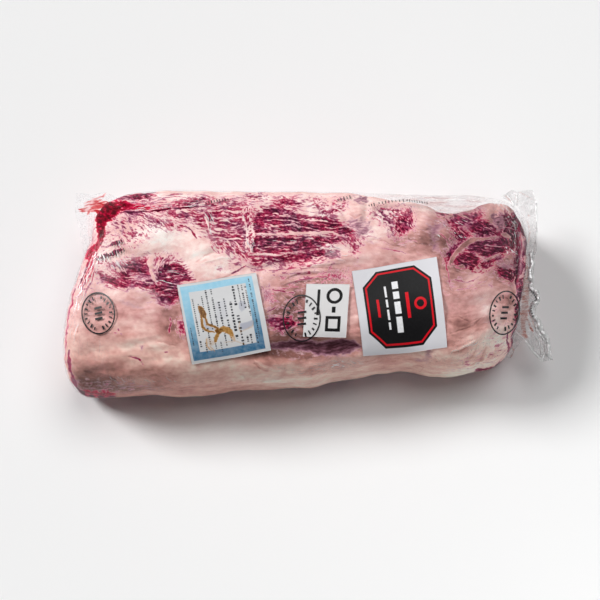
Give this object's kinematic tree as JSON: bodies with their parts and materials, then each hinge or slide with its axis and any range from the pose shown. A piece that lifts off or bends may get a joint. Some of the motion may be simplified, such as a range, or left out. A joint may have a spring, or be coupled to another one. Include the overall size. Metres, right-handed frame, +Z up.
{
  "type": "whole beef ribeye in a vacuum bag",
  "caption": "Whole boneless beef ribeye with fat cap and marbled lean, vacuum packed in a clear shrink bag with a crimped seal and plain paper labels.",
  "frame": {"origin": "middle of the outline's bounding box, on the surface that the pack lies on", "axes": "+X along the loin towards the bag's seal, +Y across to the far long side, +Z up"},
  "size_m": [0.425, 0.183, 0.0999],
  "materials": {
    "beef": "fat and marbled lean under tight clear film",
    "clear_film": "clear gloss, crinkled at the seal",
    "blue_label": "semi-gloss printed paper",
    "white_label": "smooth white paper"
  },
  "bodies": {
    "root": {"sealed_ribeye": "beef", "stock_label": "blue_label", "grade_label": "white_label", "front_label": "white_label"}
  },
  "joints": []
}
